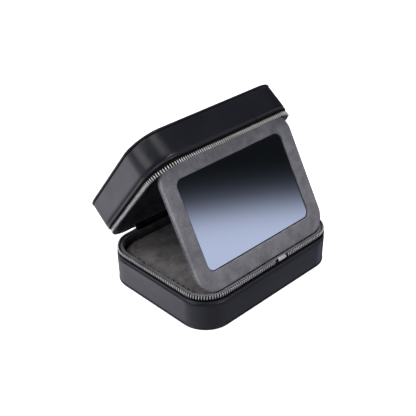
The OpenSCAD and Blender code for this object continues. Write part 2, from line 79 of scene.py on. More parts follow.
# Zip, as in part.scad
TAPE_MID = 1.5
TAPE_T = 0.6
TAPE_DROP = 10.0
TEETH_PITCH = 2.0
TOOTH_H = 3.0
TOOTH_T = 1.7
TOOTH_LEG_H = 1.3
TOOTH_OVER = 0.5
TOOTH_Z = MID_Z + TOOTH_OVER - TOOTH_H
STOP_L = 3.0
SLIDER_PARK = 20.0
SLIDER_L = 9.0
TEETH_END_GAP = 3.0
CLIP_X = 9.4
CLIP_L = 8.8
CLIP_GAP = 0.9

# Mirror panel, as in part.scad
PANEL_GAP = 0.9
PANEL_W = CASE_W - 2 * (WALL_T + PANEL_GAP)
PANEL_L = CASE_D - 2 * (WALL_T + PANEL_GAP)
PANEL_R = CORNER_R - WALL_T - PANEL_GAP - 0.2
PANEL_T = 6.5
PANEL_BACK_T = 2.0
FRAME_SIDE = 12.5
FRAME_END = 14.4
WINDOW_W = PANEL_W - 2 * FRAME_SIDE
WINDOW_H = PANEL_L - 2 * FRAME_END
WINDOW_R = 6.2
GLASS_RECESS = 1.7
FOLD_OFFSET = 3.3
FOLD_DEPTH = 5.9
FOLD_IN = 0.3
FOLD_TAPE_W = 98.0

# Insert and ceiling pad, as in part.scad
INSERT_PAD_T = 7.8
INSERT_BLOCK_Z = 19.75
CEILING_PAD_T = 3.6

# The joints, and how far the lid and the panel have turned when the case stands open, in degrees
JOINTS = {j["name"]: j for j in frame["joints"]}
COUPLING = frame["record"]["behaviour"]["couplings"][0]["ratio"]
LID_TRAVEL = JOINTS["lid_hinge"]["range_deg"][1]
PANEL_FOLD = COUPLING * LID_TRAVEL


def lid_open_angle():
    """The lid's turn, from where its fold line lies when the case is shut and when it stands open."""
    hinge, fold = (Vector(JOINTS[name]["pos_m"]) / MM for name in ("lid_hinge", "panel_fold"))
    shut = math.atan2(MID_Z + FOLD_DEPTH - hinge.z, hinge.y + CASE_D / 2 - WALL_T - FOLD_IN)
    return math.degrees(math.atan2(fold.z - hinge.z, hinge.y - fold.y) - shut)


LID_OPEN = lid_open_angle()


def about(point_m, degrees, axis):
    """A turn about a line through a point given in metres."""
    p = Vector(point_m)
    return Matrix.Translation(p) @ Matrix.Rotation(math.radians(degrees), 4, axis) @ Matrix.Translation(-p)


# From the closed position to the position at rest, which is open
OPENING = about(JOINTS["lid_hinge"]["pos_m"], -LID_OPEN, "X")
# From an upside-down base to the lid at rest
LID_TOP = (BASE_H + ZIP_GAP + LID_H) * MM
LID = OPENING @ Matrix.Translation((0, 0, LID_TOP)) @ Matrix.Diagonal((1, 1, -1, 1))
BASE = Matrix.Identity(4)
# From the panel's own frame to the panel at rest
PANEL_TOP = Vector((0, -CASE_D / 2 + WALL_T + PANEL_GAP, MID_Z + FOLD_DEPTH + FOLD_OFFSET)) * MM
PANEL = about(JOINTS["panel_fold"]["pos_m"], -PANEL_FOLD, "X") @ OPENING @ Matrix.Translation(PANEL_TOP)


# Mesh helpers


def add_mesh(name, verts, faces, place=BASE):
    """A mesh from points in millimetres, put in place by a matrix in metres."""
    mesh = bpy.data.meshes.new(name)
    mesh.from_pydata([place @ (Vector(v) * MM) for v in verts], [], faces)
    bm = bmesh.new()
    bm.from_mesh(mesh)
    bmesh.ops.recalc_face_normals(bm, faces=bm.faces)
    bm.to_mesh(mesh)
    bm.free()
    for poly in mesh.polygons:
        poly.use_smooth = True
    obj = bpy.data.objects.new(name, mesh)
    bpy.context.collection.objects.link(obj)
    return obj


def finish_piece(obj, body, slot, material, *replaced):
    """Gives a piece its material and its body, and hides the CAD nodes that it stands for. The slot is not used.
    """
    obj.data.materials.clear()
    obj.data.materials.append(material)
    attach(obj, body)
    if replaced:
        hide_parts(*replaced)
    return obj


def apply_modifiers(obj):
    """Bakes an object's modifiers into its mesh."""
    bpy.context.view_layer.update()
    graph = bpy.context.evaluated_depsgraph_get()
    mesh = bpy.data.meshes.new_from_object(obj.evaluated_get(graph))
    obj.modifiers.clear()
    obj.data = mesh
    return obj


def subdivide(obj):
    """One round of smooth subdivision."""
    mod = obj.modifiers.new("subsurf", "SUBSURF")
    mod.levels = 1
    mod.render_levels = 1
    return apply_modifiers(obj)


def bridge(rings, around, ring_close=False):
    """Faces between neighbouring rings of points, where each ring is closed on itself."""
    faces = []
    for i in range(rings if ring_close else rings - 1):
        j = (i + 1) % rings
        for k in range(around):
            l = (k + 1) % around
            faces.append((i * around + k, i * around + l, j * around + l, j * around + k))
    return faces


def end_caps(rings, around):
    """One face over the first ring of points and one over the last."""
    return [tuple(range(around))[::-1], tuple((rings - 1) * around + k for k in range(around))]


def superellipse(count, half_x, half_y, power, turn=0.0):
    """Points round an oval. A power under 1 squares it off."""
    points = []
    for k in range(count):
        a = 2 * math.pi * (k + turn) / count
        c, s = math.cos(a), math.sin(a)
        x, y = math.copysign(abs(c) ** power, c), math.copysign(abs(s) ** power, s)
        points.append((half_x * x, half_y * y))
    return points


def rounded_outline(w, d, r, steps, side, waist=0.0):
    """Points round a rounded rectangle about the origin. A waist draws its sides in between the corners."""
    outline = []
    for c, (sx, sy) in enumerate(((1, 1), (-1, 1), (-1, -1), (1, -1))):
        run = (w if c % 2 == 0 else d) - 2 * r
        cx, cy = sx * (w / 2 - r), sy * (d / 2 - r)
        for k in range(steps):
            a = math.radians(90 * c + 90 * k / steps)
            outline.append((cx + r * math.cos(a), cy + r * math.sin(a)))
        a = math.radians(90 * c + 90)
        for k in range(side):
            t = k / side
            out = r - waist * 4 * t * (1 - t)
            outline.append((cx + out * math.cos(a) - math.sin(a) * t * run,
                            cy + out * math.sin(a) + math.cos(a) * t * run))
    return outline


class Loop:
    """A rounded rectangle walked from a point on its back side, by the left side and the front."""

    def __init__(self, w, d, r, start_x=0.0):
        self.cx, self.cy, self.r, self.d, self.w = w / 2 - r, d / 2 - r, r, d, w
        self.start_x = start_x
        self.arc = r * math.pi / 2
        self.first = start_x + self.cx
        self.length = 4 * self.arc + 4 * self.cx + 4 * self.cy

    def corner(self, cx, cy, a0, s):
        """The point at a distance into the corner whose centre and first angle are given."""
        a = math.radians(a0) + s / self.r
        return cx + self.r * math.cos(a), cy + self.r * math.sin(a), math.cos(a), math.sin(a)

    def at(self, s):
        """The point at a distance along the walk, and the outward direction there."""
        s = s % self.length
        if s < self.first:
            return self.start_x - s, self.d / 2, 0.0, 1.0
        s -= self.first
        if s < self.arc:
            return self.corner(-self.cx, self.cy, 90, s)
        s -= self.arc
        if s < 2 * self.cy:
            return -self.w / 2, self.cy - s, -1.0, 0.0
        s -= 2 * self.cy
        if s < self.arc:
            return self.corner(-self.cx, -self.cy, 180, s)
        s -= self.arc
        if s < 2 * self.cx:
            return s - self.cx, -self.d / 2, 0.0, -1.0
        s -= 2 * self.cx
        if s < self.arc:
            return self.corner(self.cx, -self.cy, 270, s)
        s -= self.arc
        if s < 2 * self.cy:
            return self.w / 2, s - self.cy, 1.0, 0.0
        s -= 2 * self.cy
        if s < self.arc:
            return self.corner(self.cx, self.cy, 0, s)
        s -= self.arc
        return self.cx - s, self.d / 2, 0.0, 1.0


LEATHER_LOOP = Loop(CASE_W, CASE_D, CORNER_R)
ROW = Loop(CASE_W - 2 * TAPE_MID, CASE_D - 2 * TAPE_MID, CORNER_R - TAPE_MID, -HINGE_W / 2)
ROW_L = ROW.length - HINGE_W
BACK_RUN = ROW.first
SLIDER_S = ROW_L - BACK_RUN - SLIDER_PARK
CLIP_S = ROW_L / 2 + CLIP_X
CLIP_FROM = CLIP_S - CLIP_L / 2
CLIP_TO = CLIP_S + CLIP_L / 2


def sweep(name, loop, profile, end, step, closed_loop, place, wave):
    """Carries a closed profile along a loop, from its start. The profile's points are (inset, height).
    A wave is a function of (distance, inset, height) that moves a point in and up."""
    n = round(end / step)
    verts, faces = [], []
    rows = n if closed_loop else n + 1
    m = len(profile)
    for i in range(rows):
        s = end * i / n
        x, y, nx, ny = loop.at(s)
        for inset, z in profile:
            din, dz = wave(s, inset, z)
            verts.append((x - nx * (inset + din), y - ny * (inset + din), z + dz))
    for i in range(n):
        j = (i + 1) % rows
        for k in range(m):
            l = (k + 1) % m
            faces.append((i * m + k, j * m + k, j * m + l, i * m + l))
    if not closed_loop:
        faces.append(tuple(range(m)))
        faces.append(tuple(n * m + k for k in range(m)))
    return add_mesh(name, verts, faces, place)


def ripple(s, seed, wavelength, height):
    """A gentle wave along a distance, up to a height either way."""
    return height * noise.noise(Vector((s / wavelength, seed * 7.31, 0.5)))


# Materials


def fill_ramp(node, stops):
    """Sets the stops of a new colour ramp. Each stop is (position, colour)."""
    elements = node.color_ramp.elements
    elements[0].position, elements[0].color = stops[0][0], (*stops[0][1], 1)
    elements[1].position, elements[1].color = stops[-1][0], (*stops[-1][1], 1)
    for position, colour in stops[1:-1]:
        elements.new(position).color = (*colour, 1)


class Nodes:
    """Short calls for building a material's nodes."""

    def __init__(self, name):
        self.material = bpy.data.materials.new(name)
        self.material.use_nodes = True
        self.tree = self.material.node_tree
        self.shader = self.tree.nodes["Principled BSDF"]
        self.coords = self.tree.nodes.new("ShaderNodeTexCoord").outputs["Object"]

    def add(self, kind):
        return self.tree.nodes.new(kind)

    def link(self, source, node, socket):
        self.tree.links.new(source, node.inputs[socket])

    def noise(self, scale, detail=2.0, roughness=0.5):
        node = self.add("ShaderNodeTexNoise")
        node.inputs["Scale"].default_value = scale
        node.inputs["Detail"].default_value = detail
        node.inputs["Roughness"].default_value = roughness
        self.link(self.coords, node, "Vector")
        return node.outputs["Fac"]

    def pebbles(self, scale):
        node = self.add("ShaderNodeTexVoronoi")
        node.feature = "SMOOTH_F1"
        node.inputs["Scale"].default_value = scale
        self.link(self.coords, node, "Vector")
        return node.outputs["Distance"]

    def wave(self, scale, axis, distortion):
        node = self.add("ShaderNodeTexWave")
        node.bands_direction = axis
        node.inputs["Scale"].default_value = scale
        node.inputs["Distortion"].default_value = distortion
        self.link(self.coords, node, "Vector")
        return node.outputs["Fac"]

    def ramp(self, factor, stops):
        node = self.add("ShaderNodeValToRGB")
        fill_ramp(node, stops)
        self.link(factor, node, "Fac")
        return node.outputs["Color"]

    def map_range(self, value, low, high, to_low, to_high):
        node = self.add("ShaderNodeMapRange")
        limits = {"From Min": low, "From Max": high, "To Min": to_low, "To Max": to_high}
        for socket, number in limits.items():
            node.inputs[socket].default_value = number
        self.link(value, node, "Value")
        return node.outputs["Result"]

    def math(self, operation, a, b):
        node = self.add("ShaderNodeMath")
        node.operation = operation
        for socket, value in ((0, a), (1, b)):
            if isinstance(value, (int, float)):
                node.inputs[socket].default_value = value
            else:
                self.tree.links.new(value, node.inputs[socket])
        return node.outputs["Value"]

    def bump(self, height, strength, distance, below=None):
        node = self.add("ShaderNodeBump")
        node.inputs["Strength"].default_value = strength
        node.inputs["Distance"].default_value = distance
        self.link(height, node, "Height")
        if below is not None:
            self.link(below, node, "Normal")
        return node.outputs["Normal"]

    def set(self, **values):
        for key, value in values.items():
            self.shader.inputs[key.replace("_", " ")].default_value = value

    def use(self, **outputs):
        for key, output in outputs.items():
            self.link(output, self.shader, key.replace("_", " "))


def leather_material():
    """Smooth calf leather: fine pebbled grain, pores, faint cloudiness and softly varying gloss."""
    m = Nodes("leather")
    cloud = m.noise(28, 3)
    pebble = m.pebbles(1500)
    pores = m.noise(4200, 2, 0.6)
    m.use(
        Base_Color=m.ramp(cloud, [(0.3, (0.019, 0.0195, 0.027)), (0.7, (0.024, 0.025, 0.034))]),
        Roughness=m.map_range(m.noise(60, 4), 0.3, 0.7, 0.27, 0.33),
        Normal=m.bump(pores, 0.10, 0.00005, m.bump(pebble, 0.16, 0.00012)),
    )
    m.set(Specular_IOR_Level=0.5, IOR=1.5)
    return m.material


def suede_material(name, dark, light, sheen):
    """Suede: a short nap that is brushed in soft patches, over a felt-like ground."""
    m = Nodes(name)
    brushed = m.noise(95, 6, 0.68)
    patches = m.noise(30, 3, 0.5)
    fibres = m.noise(1300, 4, 0.75)
    tufts = m.noise(480, 3, 0.65)
    shade = m.math("ADD", m.math("MULTIPLY", brushed, 0.40), m.math("MULTIPLY", fibres, 0.45))
    shade = m.math("ADD", shade, m.math("MULTIPLY", patches, 0.15))
    m.use(
        Base_Color=m.ramp(shade, [(0.41, dark), (0.59, light)]),
        Normal=m.bump(fibres, 0.6, 0.0003, m.bump(tufts, 0.5, 0.0006)),
    )
    m.set(Roughness=0.95, Specular_IOR_Level=0.12, Sheen_Weight=sheen, Sheen_Roughness=0.5)
    m.shader.inputs["Sheen Tint"].default_value = (0.85, 0.86, 0.95, 1)
    return m.material


def tape_material():
    """Woven zip tape: a fine twill of ribs in two directions."""
    m = Nodes("zip_tape")
    twill = m.math("MULTIPLY", m.wave(620, "X", 0.4), m.wave(620, "Z", 0.4))
    m.use(
        Base_Color=m.ramp(twill, [(0.0, (0.002, 0.002, 0.003)), (1.0, (0.007, 0.007, 0.010))]),
        Normal=m.bump(twill, 0.8, 0.00025),
    )
    m.set(Roughness=0.8, Specular_IOR_Level=0.2)
    return m.material


def metal_material(name, tint, roughness):
    """Plated zip metal with fine drawing lines and soft tarnish between the bright spots."""
    m = Nodes(name)
    lines = m.noise(1800, 2)
    m.use(
        Base_Color=m.ramp(m.noise(240, 3), [(0.3, tuple(0.82 * c for c in tint)), (0.65, tint)]),
        Roughness=m.map_range(lines, 0.3, 0.7, roughness - 0.06, roughness + 0.08),
        Normal=m.bump(lines, 0.08, 0.00004),
    )
    m.set(Metallic=0.6)
    return m.material


def thread_material(name, colour):
    """Twisted thread, also used for the base's darkened foot, which is edge dye with painted contact shade, and
    for the blackened bevel of the glass.
    """
    m = Nodes(name)
    twist = m.wave(900, "DIAGONAL", 0.3)
    m.use(
        Base_Color=m.ramp(twist, [(0.0, tuple(0.55 * c for c in colour)), (1.0, colour)]),
        Normal=m.bump(twist, 0.6, 0.0001),
    )
    m.set(Roughness=0.62, Specular_IOR_Level=0.3)
    return m.material


def board_material():
    """Greyboard and firm foam, which only show inside."""
    m = Nodes("board")
    fibre = m.noise(900, 5, 0.7)
    m.use(
        Base_Color=m.ramp(fibre, [(0.3, (0.20, 0.17, 0.14)), (0.7, (0.34, 0.30, 0.25))]),
        Normal=m.bump(fibre, 0.3, 0.0002),
    )
    m.set(Roughness=0.9)
    return m.material


def mirror_material():
    """Silvered glass: a near-perfect reflection, very faintly green, with barely visible dust."""
    m = Nodes("mirror")
    dust = m.noise(1200, 2, 0.7)
    m.use(
        Base_Color=m.ramp(m.noise(9, 2), [(0.3, (0.80, 0.84, 0.86)), (0.7, (0.83, 0.86, 0.88))]),
        Roughness=m.map_range(dust, 0.55, 0.9, 0.03, 0.09),
    )
    m.set(Metallic=1.0)
    return m.material


LEATHER = leather_material()
SUEDE = suede_material("suede", (0.225, 0.216, 0.242), (0.455, 0.436, 0.482), 0.35)
SUEDE_DARK = suede_material("suede_dark", (0.185, 0.174, 0.177), (0.440, 0.416, 0.422), 0.25)
# A paler copy of the suede, a painted highlight for the mirror frame's side
SUEDE_PAINTED_HIGHLIGHT = suede_material("suede_painted_highlight", (0.330, 0.320, 0.345), (0.680, 0.660, 0.690), 0.4)
SUEDE_LINING = suede_material("suede_lining", (0.165, 0.158, 0.174), (0.345, 0.330, 0.362), 0.25)
TAPE = tape_material()
METAL = metal_material("zip_metal", (1.0, 0.985, 0.95), 0.30)
CLIP_METAL = metal_material("zip_clip", (1.0, 0.99, 0.97), 0.42)
THREAD = thread_material("thread_dark", (0.005, 0.005, 0.010))
SUEDE_THREAD = thread_material("thread_grey", (0.012, 0.011, 0.012))
# The base's darkened foot: edge dye with painted contact shade where it meets the floor
FOOT_DYE_AND_SHADE = thread_material("foot_dye_and_shade", (0.004, 0.004, 0.006))
GLASS_EDGE = thread_material("glass_edge", (0.010, 0.010, 0.012))
BOARD = board_material()
MIRROR = mirror_material()

NODE_MATERIALS = {
    "leather": LEATHER,
    "suede": SUEDE,
    "suede_dark": SUEDE_DARK,
    "zip_tape": TAPE,
    "zip_metal": METAL,
    "board": BOARD,
    "foam": BOARD,
    "mirror": MIRROR,
}
for part in frame["record"]["subparts"]:
    node_mesh = frame["nodes"][part["node"]].data
    node_mesh.materials.clear()
    node_mesh.materials.append(NODE_MATERIALS[part["material_slot"]])


# Leather


# Spacing of the points along the leather and the lining
STEP = 1.3
# Depth of the groove between the wall's leather and the cover, as a share of the deepest
BASE_GROOVE = 0.2
LID_GROOVE = 1.0
# Stitches in the crease of the wall's leather
WRAP_STITCH_PITCH = 2.7
WRAP_STITCH_INSET = 0.20
WRAP_STITCH_DROP = 3.3
# The cover's inner height at its rolled edge, and the height up to which the base's edge is darkened: edge dye
# with painted contact shade where the base meets the floor
COVER_RIM = 2.0
DARK_FOOT_TO = 0.51


def wrap_profile(h, groove):
    """The leather wrap's section: a beaded edge, a pressed crease and a wall that turns in at its foot."""
    foot_inset, groove_depth, groove_steps = 0.36, 0.54, 3
    outer = [(1.15, COVER_T - 0.15)]
    for k in range(groove_steps + 1):
        depth = groove_depth * (1 - math.sin(math.pi / 2 * k / groove_steps))
        outer.append((foot_inset + groove * depth, COVER_T - 0.05 + groove * 0.2 * k))
    outer.append((0.35, COVER_T + 1.1))
    steps, draught = 8, 0.32
    low, high = COVER_T + 1.8, h - 5.2
    outer += [(draught * (1 - k / steps) ** 2, low + (high - low) * k / steps) for k in range(steps + 1)]
    outer += [
        (0.06, h - 4.2), (0.20, h - 3.4), (0.36, h - 2.85), (0.48, h - 2.45), (0.72, h - 2.20),
        (0.92, h - CREASE_DROP), (0.70, h - 1.82), (0.30, h - 1.62), (0.08, h - 1.35), (0.0, h - 1.0),
        (0.03, h - 0.62), (0.16, h - 0.30), (0.42, h - 0.06), (0.78, h), (1.05, h - 0.12), (1.16, h - 0.45),
        (1.18, h - 1.4), (1.18, COVER_T + 0.6),
    ]
    return outer


def leather_wrap(name, h, place, body, seed, groove):
    """The leather round the wall. Its outer side has soft waves, and its hidden inner side has none."""
    inner_side = 1.1

    def wave(s, inset, z):
        t = (z - COVER_T) / (h - COVER_T)
        if inset > inner_side:
            return 0.0, 0.0
        return ripple(s + 9 * z, seed, 34, 0.12) * 4 * t * (1 - t), ripple(s, seed + 3, 26, 0.12) * t

    loop = LEATHER_LOOP
    obj = sweep(name, loop, wrap_profile(h, groove), loop.length, STEP, True, place, wave)
    return finish_piece(obj, body, "leather", LEATHER, f"{body}_leather_wrap")


def stitch_mesh(length, radius, flat):
    """Points and faces of one stitch: a rounded thread that dives at both ends. It lies along y."""
    rings, sides = 7, 8
    verts = []
    for i in range(rings):
        t = i / (rings - 1)
        y = (t - 0.5) * length
        swell = math.sin(math.pi * (0.08 + 0.84 * t)) ** 0.5
        rise = radius * 1.1 * math.sin(math.pi * t) - radius * 0.7
        for k in range(sides):
            a = 2 * math.pi * k / sides
            verts.append((rise + radius * swell * flat * math.cos(a), y, radius * swell * math.sin(a)))
    return verts, bridge(rings, sides) + end_caps(rings, sides)


def along(loop, s, inset, z, local, lean=0.0):
    """A point given in a small frame on the loop: x outward, y along the walk, z up."""
    x, y, nx, ny = loop.at(s)
    lx, ly, lz = local
    lx, lz = lx * math.cos(lean) - lz * math.sin(lean), lx * math.sin(lean) + lz * math.cos(lean)
    tx, ty = -ny, nx
    return x + nx * (lx - inset) + tx * ly, y + ny * (lx - inset) + ty * ly, z + lz


def repeat_on(name, loop, spots, shape, place):
    """Copies a small shape to each spot on a loop and joins the copies in one mesh.
    A spot is its distance along the loop, its inset, its height and its lean."""
    verts, faces = [], []
    shape_verts, shape_faces = shape
    for s, inset, z, lean in spots:
        first = len(verts)
        verts += [along(loop, s, inset, z, v, lean) for v in shape_verts]
        faces += [tuple(first + i for i in f) for f in shape_faces]
    return add_mesh(name, verts, faces, place)


def even_spots(loop, pitch, inset, z):
    """Evenly spaced spots all round a loop, at one inset and height."""
    n = round(loop.length / pitch)
    return [(loop.length * i / n, inset, z, 0.0) for i in range(n)]


def wrap_stitches(name, h, place, body):
    """The row of stitches below the crease of the wall's leather."""
    spots = even_spots(LEATHER_LOOP, WRAP_STITCH_PITCH, WRAP_STITCH_INSET, h - WRAP_STITCH_DROP)
    stitch = stitch_mesh(length=1.9, radius=0.36, flat=0.6)
    obj = repeat_on(name, LEATHER_LOOP, spots, stitch, place)
    return finish_piece(obj, body, "leather", THREAD)


def cover(name, place, body, seed, groove):
    """The leather over the flat panel: a thinned edge that rolls over into the groove below the wall."""
    rim = COVER_RIM - 0.2 * groove
    # Each ring is (inset, height), from the flat outside round the edge to the underside
    flat = ((8.0, 0.0), (2.4, 0.0))
    edge = (
        (1.2, 0.02), (0.62, 0.10), (0.24, 0.28), (0.0, 0.50), (0.0, 1.00), (0.03, rim - 0.45),
        (0.18, rim - 0.22), (0.6, rim - 0.04), (1.3, rim),
    )
    outline = [LEATHER_LOOP.at(k * STEP) for k in range(round(LEATHER_LOOP.length / STEP))]
    verts = []
    for inset, z in flat + edge:
        for k, (x, y, nx, ny) in enumerate(outline):
            soft = ripple(k * STEP, seed, 30, 0.08) if (inset, z) in edge else 0.0
            verts.append((x - nx * (inset + soft), y - ny * (inset + soft), z))
    rings, around = len(flat + edge), len(outline)
    obj = add_mesh(name, verts, bridge(rings, around) + end_caps(rings, around), place)
    finish_piece(obj, body, "leather", LEATHER, "bottom_cover" if body == "base" else "lid_cover")
    return obj


def darken_foot(obj):
    """Darkens the foot of the base's edge to near black: edge dye with painted contact shade where the base meets
    the floor. Its flat underside isn't darkened.
    """
    obj.data.materials.append(FOOT_DYE_AND_SHADE)
    for poly in obj.data.polygons:
        heights = [obj.data.vertices[i].co.z / MM for i in poly.vertices]
        if max(heights) < DARK_FOOT_TO and min(heights) > 0.01:
            poly.material_index = 1


leather_wrap("wrap_base", BASE_H, BASE, "base", 1, BASE_GROOVE)
leather_wrap("wrap_lid", LID_H, LID, "lid", 2, LID_GROOVE)
wrap_stitches("wrap_stitches_base", BASE_H, BASE, "base")
wrap_stitches("wrap_stitches_lid", LID_H, LID, "lid")
darken_foot(cover("cover_base", BASE, "base", 31, BASE_GROOVE))
cover("cover_lid", LID, "lid", 32, LID_GROOVE)


# Suede lining and its padded rim


def lining_profile(h, rim):
    """The lining's section: up from the floor, over the padded rim and down behind the teeth."""
    return [
        (WALL_T - 0.1, FLOOR_Z), (WALL_T, FLOOR_Z + 1), (WALL_T + 0.05, FLOOR_Z + 5), (WALL_T, rim - 7),
        (WALL_T + 0.05, rim - 4), (WALL_T + 0.12, rim - 2.4), (WALL_T + 0.08, rim - 1.4),
        (WALL_T - 0.12, rim - 0.75), (WALL_T - 0.50, rim - 0.25), (WALL_T - 1.05, rim),
        (WALL_T - 1.7, rim + 0.02),
        (RIM_OUT + 0.55, rim - 0.20), (RIM_OUT + 0.15, rim - 0.65), (RIM_OUT, rim - 1.3),
        (RIM_OUT, rim - 2.6), (RIM_OUT + 0.1, h - 0.9), (WALL_T - 1.6, h - 1.0), (WALL_T - 1.6, FLOOR_Z),
    ]


def suede_lining(name, h, place, body, seed):
    """The suede inside the wall. Only its padded rim is uneven."""
    rim = RIM_Z - BASE_H + h
    rim_reach = 4

    def wave(s, inset, z):
        soft = max(0.0, 1 - abs(z - rim) / rim_reach)
        return ripple(s, seed, 17, 0.28) * soft, ripple(s, seed + 5, 22, 0.30) * soft

    loop = LEATHER_LOOP
    obj = sweep(name, loop, lining_profile(h, rim), loop.length, STEP, True, place, wave)
    return finish_piece(obj, body, "suede", SUEDE_LINING, f"{body}_suede_lining")


suede_lining("lining_base", BASE_H, BASE, "base", 11)
suede_lining("lining_lid", LID_H, LID, "lid", 12)


# Zip


# The open zip's row sits a little lower than when it is pulled shut, and lower still at the sides
ROW_DROP = 0.5
SIDE_SAG = 0.5
# The row stands out a little and leans, more so at the sides
ROW_OUT = 0.15
ROW_LEAN = 6
SIDE_LEAN = 2
# A tooth's legs, and the size of the cut at their edges
LEG_HALF_L = 0.40
LEG_CUT = 0.14
# The clip leans out and stands proud of the row
CLIP_LEAN = math.radians(17)
CLIP_PROUD = 0.35
CLIP_RISE = 0.2


def tooth_leg(x0, x1):
    """Points and faces of one of a tooth's legs: a block with its upright edges cut."""
    cut, half = LEG_CUT, LEG_HALF_L
    outline = (
        (x0 + cut, -half), (x1 - cut, -half), (x1, -half + cut), (x1, half - cut),
        (x1 - cut, half), (x0 + cut, half), (x0, half - cut), (x0, -half + cut),
    )
    verts = [(x, y, z) for z in (0.0, TOOTH_LEG_H + 0.2) for x, y in outline]
    return verts, bridge(2, len(outline)) + end_caps(2, len(outline))


def tooth_head():
    """Points and faces of a tooth's rounded head, which narrows to a nib at its tip."""
    around, half_t = 12, TOOTH_T / 2
    # Each level is (height, share of the thickness, half length)
    levels = (
        (TOOTH_LEG_H - 0.7, 0.86, 0.36), (TOOTH_LEG_H - 0.3, 0.98, 0.46), (TOOTH_LEG_H + 0.3, 1.02, 0.49),
        (TOOTH_H - 0.75, 0.92, 0.48), (TOOTH_H - 0.35, 0.74, 0.40), (TOOTH_H - 0.08, 0.46, 0.28),
        (TOOTH_H, 0.2, 0.14),
    )
    verts = []
    for z, wide, half_y in levels:
        verts += [(x, y, z) for x, y in superellipse(around, half_t * wide, half_y, 0.86, 0.5)]
    return verts, bridge(len(levels), around) + end_caps(len(levels), around)


def tooth_mesh():
    """One tooth: two legs round the tape and a head. x is out, y along, z up."""
    outside, slot = TOOTH_T / 2 - 0.1, TAPE_T / 2 + 0.1
    verts, faces = [], []
    for part_verts, part_faces in (tooth_leg(-outside, -slot), tooth_leg(slot, outside), tooth_head()):
        first = len(verts)
        verts += part_verts
        faces += [tuple(first + i for i in f) for f in part_faces]
    return verts, faces


def side_sag(s):
    """How much the row sinks on the left and right sides, where the tape is slack, from 0 to 1."""
    return ROW.at(s)[2] ** 2


def row_spot(h, s, seed):
    """The spot of a tooth at a distance along the row: distance, inset, height and lean."""
    sag = side_sag(s)
    z = TOOTH_Z - BASE_H + h - ROW_DROP - SIDE_SAG * sag + ripple(s, seed, 9, 0.16)
    inset = ripple(s, seed + 2, 14, 0.10) - ROW_OUT
    return s, inset, z, math.radians(ripple(s, seed + 4, 8, 5.0) - ROW_LEAN - SIDE_LEAN * sag)


def teeth_row(name, h, place, body, start, skip_from, skip_to, seed):
    """A row of teeth up to the slider. A stretch is left out where the clip sits."""
    last = SLIDER_S + SLIDER_L / 2 - TEETH_END_GAP
    count = int((last - start) / TEETH_PITCH)
    spots = [start + k * TEETH_PITCH for k in range(count + 1)]
    spots = [row_spot(h, s, seed) for s in spots if s < skip_from or s > skip_to]
    if skip_to < ROW_L:
        # The tooth beside the clip sits askew
        s, inset, z, lean = row_spot(h, CLIP_FROM - CLIP_GAP - 0.4, seed)
        spots.append((s, inset + 0.3, z - 0.4, lean + 0.5))
    obj = repeat_on(name, ROW, spots, tooth_mesh(), place)
    return finish_piece(obj, body, "zip_metal", METAL, f"{body}_zip_teeth")


def zip_tape(name, h, place, body, seed):
    """The woven tape: up from inside the wall and over the corded edge that the teeth clamp."""
    half, cord = TAPE_T / 2, TAPE_T / 2 + 0.06
    foot, tooth_z = h - TAPE_DROP, TOOTH_Z - BASE_H + h
    top = tooth_z + TOOTH_H - 0.4
    # The tape follows the row from this height up
    loose = h - 1.5

    def wave(s, inset, z):
        row_inset, row_z = row_spot(h, s, seed)[1:3]
        share = min(1.0, max(0.0, (z - loose) / (tooth_z - loose)))
        return row_inset * share, (row_z - tooth_z) * share

    profile = [
        (-half, foot), (-half, h - 2), (-half, h), (-half, tooth_z - 0.5), (-half, tooth_z),
        (-cord, top - 0.35), (-half, top), (half, top), (cord, top - 0.35),
        (half, tooth_z), (half, tooth_z - 0.5), (half, h), (half, foot),
    ]
    obj = sweep(name, ROW, profile, ROW_L, 1.0, False, place, wave)
    return finish_piece(obj, body, "zip_tape", TAPE, f"{body}_zip_tape")


def front_clip():
    """The bright plate clamped over the row at the front, with rolled edges and a slightly domed face."""
    half_l, half_t, tall = CLIP_L / 2, TOOTH_T / 2 + 0.15, TOOTH_H - 0.1
    section = superellipse(24, half_t, tall / 2, 0.45)
    # Each row is (place along the clip, share of the section), from the middle to an end
    half_rows = ((0.5, 1.0), (0.95, 0.98), (0.985, 0.90), (1.0, 0.72))
    rows = [(-at, scale) for at, scale in half_rows[::-1]] + [(0.0, 1.01), *half_rows]
    verts = []
    for at, scale in rows:
        verts += [(x * scale, at * half_l, z * scale + tall / 2) for x, z in section]
    faces = bridge(len(rows), len(section)) + end_caps(len(rows), len(section))
    spot = (CLIP_S, -CLIP_PROUD, TOOTH_Z - ROW_DROP + CLIP_RISE, CLIP_LEAN)
    obj = repeat_on("front_clip", ROW, [spot], (verts, faces), BASE)
    return finish_piece(obj, "base", "zip_metal", CLIP_METAL, "zip_front_clip")


front_clip()
teeth_row("teeth_base", BASE_H, BASE, "base", STOP_L + TEETH_PITCH,
          CLIP_FROM - CLIP_GAP - 1.4 * TEETH_PITCH, CLIP_TO + TEETH_PITCH / 2, 21)
teeth_row("teeth_lid", LID_H, LID, "lid", STOP_L + 1.5 * TEETH_PITCH, ROW_L, ROW_L, 22)
zip_tape("tape_base", BASE_H, BASE, "base", 21)
zip_tape("tape_lid", LID_H, LID, "lid", 22)


# Cushions


# How far a cushion's sides are drawn in between its corners
WAIST = 0.7
# How far the insert and the ceiling pad stay clear of the wall's lining
INSERT_GAP = 1.2
CEILING_GAP = 0.6
# Frames that Cloth runs for
SWELL_FRAMES = 15


